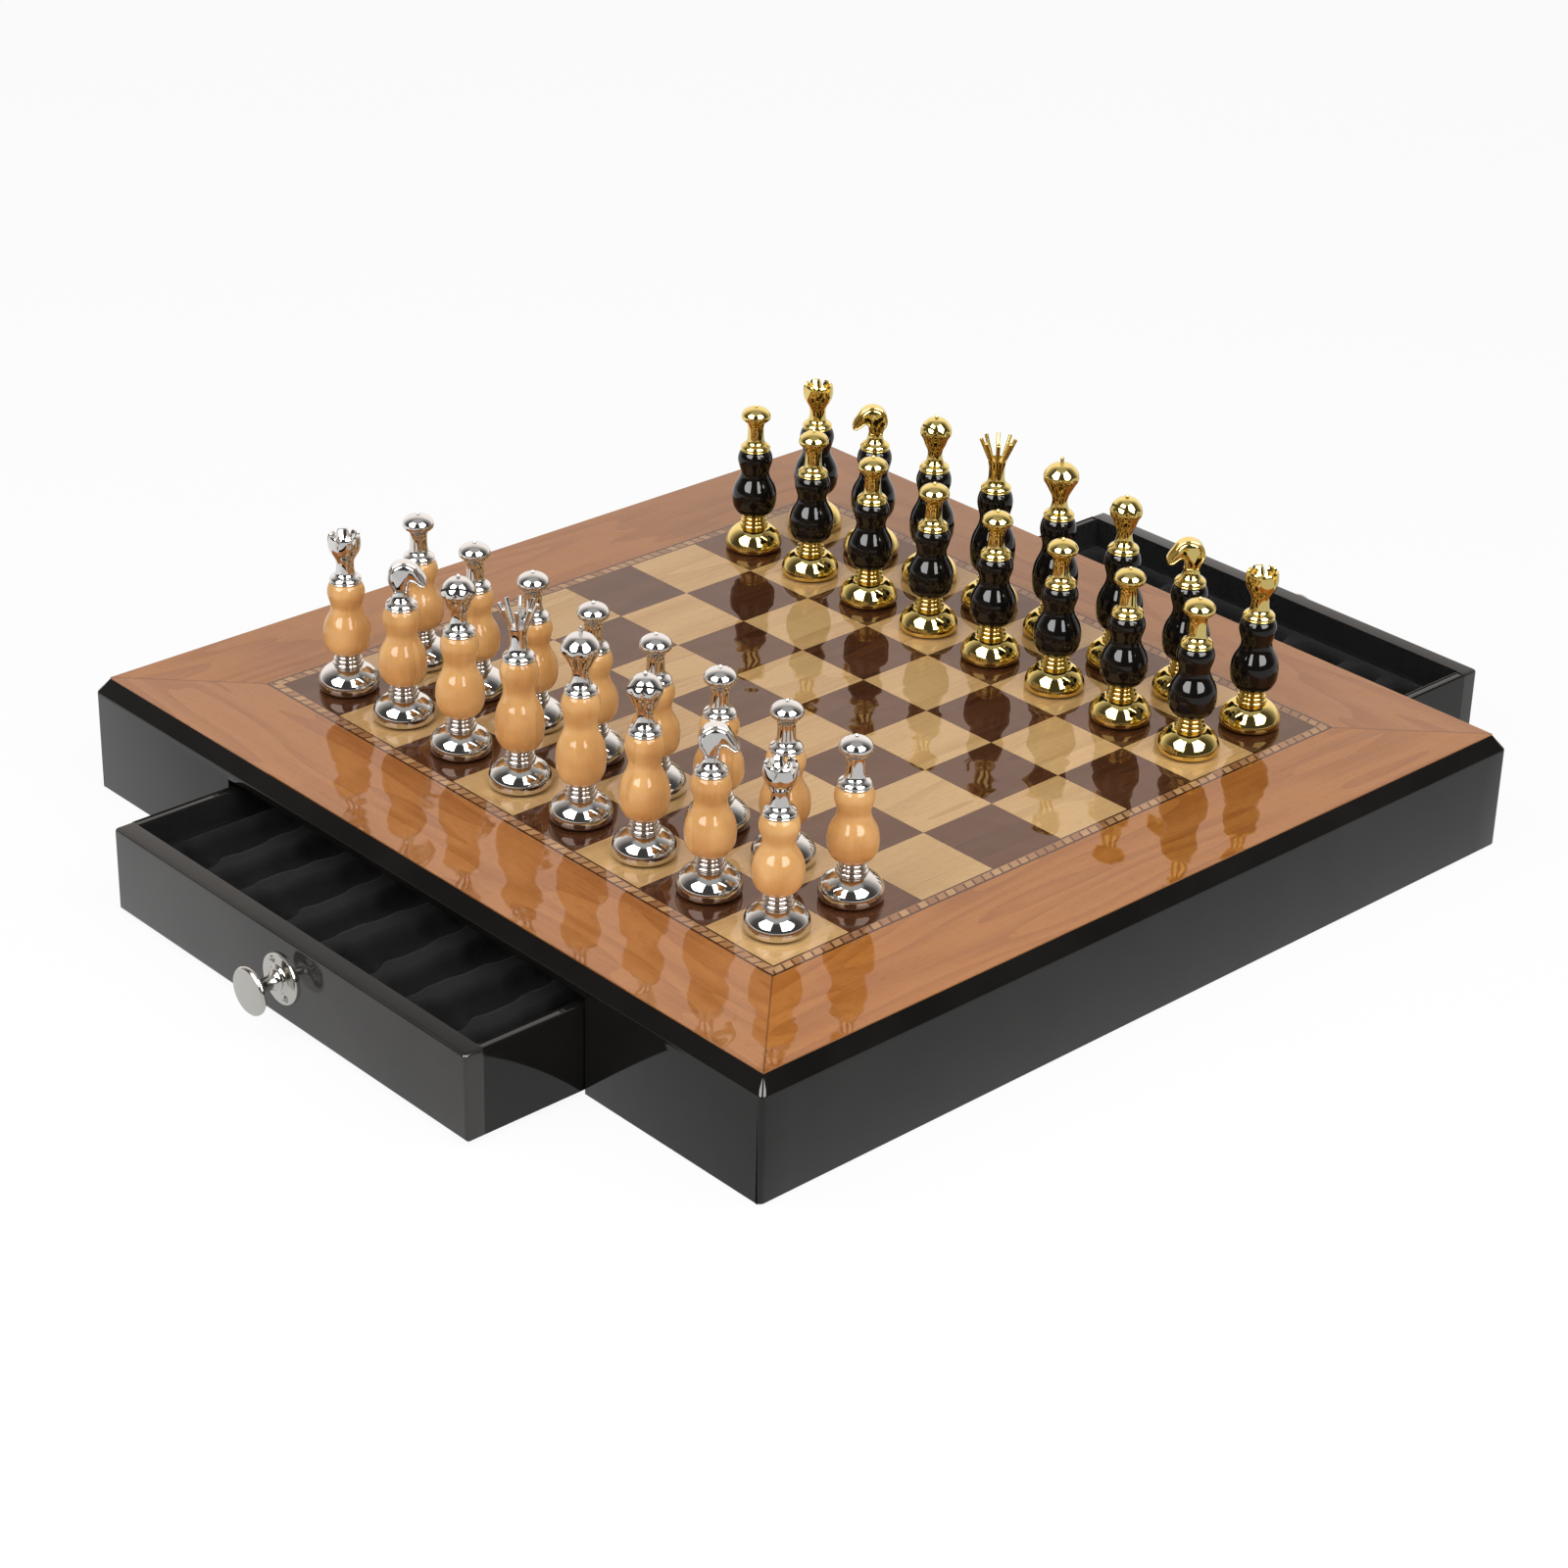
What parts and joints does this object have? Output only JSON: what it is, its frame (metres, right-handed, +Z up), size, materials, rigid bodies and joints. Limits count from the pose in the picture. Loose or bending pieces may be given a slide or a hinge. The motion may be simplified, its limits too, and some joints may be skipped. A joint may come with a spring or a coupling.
{
  "type": "chess box with drawers",
  "caption": "Lacquered chess box with a veneered board on top, two drawers with moulded trays and a full set of turned metal and wood chessmen.",
  "frame": {"origin": "on the surface the case stands on, under the case's centre", "axes": "+X along the front to the right, +Y from the front drawer's side to the rear drawer's side, +Z up"},
  "size_m": [0.44, 0.6, 0.1427],
  "materials": {
    "lacquer": "black piano lacquer, glossy",
    "raw_wood": "planed, unfinished",
    "border_veneer": "cherry veneer under clear gloss lacquer",
    "inlay": "inlaid marquetry band under clear gloss lacquer",
    "light_veneer": "maple veneer under clear gloss lacquer",
    "dark_veneer": "walnut veneer under clear gloss lacquer",
    "velvet": "black flocked velvet",
    "felt": "felt",
    "chrome": "polished",
    "gold_plate": "polished gold plate",
    "tan_wood": "turned, tan, under clear gloss lacquer",
    "black_wood": "turned, black gloss lacquer"
  },
  "bodies": {
    "case": {"base_panel": "lacquer", "feet": "felt", "front_wall": "lacquer", "rear_wall": "lacquer", "side_walls": "lacquer", "center_divider": "raw_wood", "drawer_guides": "raw_wood", "top_panel": "lacquer", "border_veneer": "border_veneer", "inlay_band": "inlay", "light_squares": "light_veneer", "dark_squares": "dark_veneer"},
    "front_drawer": {"front_drawer_face": "lacquer", "front_drawer_sides": "lacquer", "front_drawer_back": "lacquer", "front_drawer_bottom": "lacquer", "front_drawer_tray": "velvet", "front_drawer_knob": "chrome", "front_drawer_knob_plate": "chrome", "front_drawer_knob_screws": "chrome"},
    "rear_drawer": {"rear_drawer_face": "lacquer", "rear_drawer_sides": "lacquer", "rear_drawer_back": "lacquer", "rear_drawer_bottom": "lacquer", "rear_drawer_tray": "velvet", "rear_drawer_knob": "chrome", "rear_drawer_knob_plate": "chrome", "rear_drawer_knob_screws": "chrome"},
    "silver_rook_a": {"silver_rook_a": "chrome"},
    "silver_knight_b": {"silver_knight_b": "chrome"},
    "silver_bishop_c": {"silver_bishop_c": "chrome"},
    "silver_queen": {"silver_queen": "chrome"},
    "silver_king": {"silver_king": "chrome"},
    "silver_bishop_f": {"silver_bishop_f": "chrome"},
    "silver_knight_g": {"silver_knight_g": "chrome"},
    "silver_rook_h": {"silver_rook_h": "chrome"},
    "gold_rook_a": {"gold_rook_a": "gold_plate"},
    "gold_knight_b": {"gold_knight_b": "gold_plate"},
    "gold_bishop_c": {"gold_bishop_c": "gold_plate"},
    "gold_queen": {"gold_queen": "gold_plate"},
    "gold_king": {"gold_king": "gold_plate"},
    "gold_bishop_f": {"gold_bishop_f": "gold_plate"},
    "gold_knight_g": {"gold_knight_g": "gold_plate"},
    "gold_rook_h": {"gold_rook_h": "gold_plate"},
    "silver_pawn_a": {"silver_pawn_a": "chrome"},
    "silver_pawn_b": {"silver_pawn_b": "chrome"},
    "silver_pawn_c": {"silver_pawn_c": "chrome"},
    "silver_pawn_d": {"silver_pawn_d": "chrome"},
    "silver_pawn_e": {"silver_pawn_e": "chrome"},
    "silver_pawn_f": {"silver_pawn_f": "chrome"},
    "silver_pawn_g": {"silver_pawn_g": "chrome"},
    "silver_pawn_h": {"silver_pawn_h": "chrome"},
    "gold_pawn_a": {"gold_pawn_a": "gold_plate"},
    "gold_pawn_b": {"gold_pawn_b": "gold_plate"},
    "gold_pawn_c": {"gold_pawn_c": "gold_plate"},
    "gold_pawn_d": {"gold_pawn_d": "gold_plate"},
    "gold_pawn_e": {"gold_pawn_e": "gold_plate"},
    "gold_pawn_f": {"gold_pawn_f": "gold_plate"},
    "gold_pawn_g": {"gold_pawn_g": "gold_plate"},
    "gold_pawn_h": {"gold_pawn_h": "gold_plate"}
  },
  "joints": [
    {"name": "front_drawer_slide", "type": "slide", "parent": "case", "child": "front_drawer", "axis": [0, -1, 0], "range_m": [-0.058, 0.092]},
    {"name": "rear_drawer_slide", "type": "slide", "parent": "case", "child": "rear_drawer", "axis": [0, 1, 0], "range_m": [-0.066, 0.084]},
    {"name": "silver_rook_a_lift", "type": "slide", "parent": "case", "child": "silver_rook_a", "axis": [0, 0, 1], "range_m": [0, 0.1]},
    {"name": "silver_knight_b_lift", "type": "slide", "parent": "case", "child": "silver_knight_b", "axis": [0, 0, 1], "range_m": [0, 0.1]},
    {"name": "silver_bishop_c_lift", "type": "slide", "parent": "case", "child": "silver_bishop_c", "axis": [0, 0, 1], "range_m": [0, 0.1]},
    {"name": "silver_queen_lift", "type": "slide", "parent": "case", "child": "silver_queen", "axis": [0, 0, 1], "range_m": [0, 0.1]},
    {"name": "silver_king_lift", "type": "slide", "parent": "case", "child": "silver_king", "axis": [0, 0, 1], "range_m": [0, 0.1]},
    {"name": "silver_bishop_f_lift", "type": "slide", "parent": "case", "child": "silver_bishop_f", "axis": [0, 0, 1], "range_m": [0, 0.1]},
    {"name": "silver_knight_g_lift", "type": "slide", "parent": "case", "child": "silver_knight_g", "axis": [0, 0, 1], "range_m": [0, 0.1]},
    {"name": "silver_rook_h_lift", "type": "slide", "parent": "case", "child": "silver_rook_h", "axis": [0, 0, 1], "range_m": [0, 0.1]},
    {"name": "gold_rook_a_lift", "type": "slide", "parent": "case", "child": "gold_rook_a", "axis": [0, 0, 1], "range_m": [0, 0.1]},
    {"name": "gold_knight_b_lift", "type": "slide", "parent": "case", "child": "gold_knight_b", "axis": [0, 0, 1], "range_m": [0, 0.1]},
    {"name": "gold_bishop_c_lift", "type": "slide", "parent": "case", "child": "gold_bishop_c", "axis": [0, 0, 1], "range_m": [0, 0.1]},
    {"name": "gold_queen_lift", "type": "slide", "parent": "case", "child": "gold_queen", "axis": [0, 0, 1], "range_m": [0, 0.1]},
    {"name": "gold_king_lift", "type": "slide", "parent": "case", "child": "gold_king", "axis": [0, 0, 1], "range_m": [0, 0.1]},
    {"name": "gold_bishop_f_lift", "type": "slide", "parent": "case", "child": "gold_bishop_f", "axis": [0, 0, 1], "range_m": [0, 0.1]},
    {"name": "gold_knight_g_lift", "type": "slide", "parent": "case", "child": "gold_knight_g", "axis": [0, 0, 1], "range_m": [0, 0.1]},
    {"name": "gold_rook_h_lift", "type": "slide", "parent": "case", "child": "gold_rook_h", "axis": [0, 0, 1], "range_m": [0, 0.1]},
    {"name": "silver_pawn_a_lift", "type": "slide", "parent": "case", "child": "silver_pawn_a", "axis": [0, 0, 1], "range_m": [0, 0.1]},
    {"name": "silver_pawn_b_lift", "type": "slide", "parent": "case", "child": "silver_pawn_b", "axis": [0, 0, 1], "range_m": [0, 0.1]},
    {"name": "silver_pawn_c_lift", "type": "slide", "parent": "case", "child": "silver_pawn_c", "axis": [0, 0, 1], "range_m": [0, 0.1]},
    {"name": "silver_pawn_d_lift", "type": "slide", "parent": "case", "child": "silver_pawn_d", "axis": [0, 0, 1], "range_m": [0, 0.1]},
    {"name": "silver_pawn_e_lift", "type": "slide", "parent": "case", "child": "silver_pawn_e", "axis": [0, 0, 1], "range_m": [0, 0.1]},
    {"name": "silver_pawn_f_lift", "type": "slide", "parent": "case", "child": "silver_pawn_f", "axis": [0, 0, 1], "range_m": [0, 0.1]},
    {"name": "silver_pawn_g_lift", "type": "slide", "parent": "case", "child": "silver_pawn_g", "axis": [0, 0, 1], "range_m": [0, 0.1]},
    {"name": "silver_pawn_h_lift", "type": "slide", "parent": "case", "child": "silver_pawn_h", "axis": [0, 0, 1], "range_m": [0, 0.1]},
    {"name": "gold_pawn_a_lift", "type": "slide", "parent": "case", "child": "gold_pawn_a", "axis": [0, 0, 1], "range_m": [0, 0.1]},
    {"name": "gold_pawn_b_lift", "type": "slide", "parent": "case", "child": "gold_pawn_b", "axis": [0, 0, 1], "range_m": [0, 0.1]},
    {"name": "gold_pawn_c_lift", "type": "slide", "parent": "case", "child": "gold_pawn_c", "axis": [0, 0, 1], "range_m": [0, 0.1]},
    {"name": "gold_pawn_d_lift", "type": "slide", "parent": "case", "child": "gold_pawn_d", "axis": [0, 0, 1], "range_m": [0, 0.1]},
    {"name": "gold_pawn_e_lift", "type": "slide", "parent": "case", "child": "gold_pawn_e", "axis": [0, 0, 1], "range_m": [0, 0.1]},
    {"name": "gold_pawn_f_lift", "type": "slide", "parent": "case", "child": "gold_pawn_f", "axis": [0, 0, 1], "range_m": [0, 0.1]},
    {"name": "gold_pawn_g_lift", "type": "slide", "parent": "case", "child": "gold_pawn_g", "axis": [0, 0, 1], "range_m": [0, 0.1]},
    {"name": "gold_pawn_h_lift", "type": "slide", "parent": "case", "child": "gold_pawn_h", "axis": [0, 0, 1], "range_m": [0, 0.1]}
  ]
}
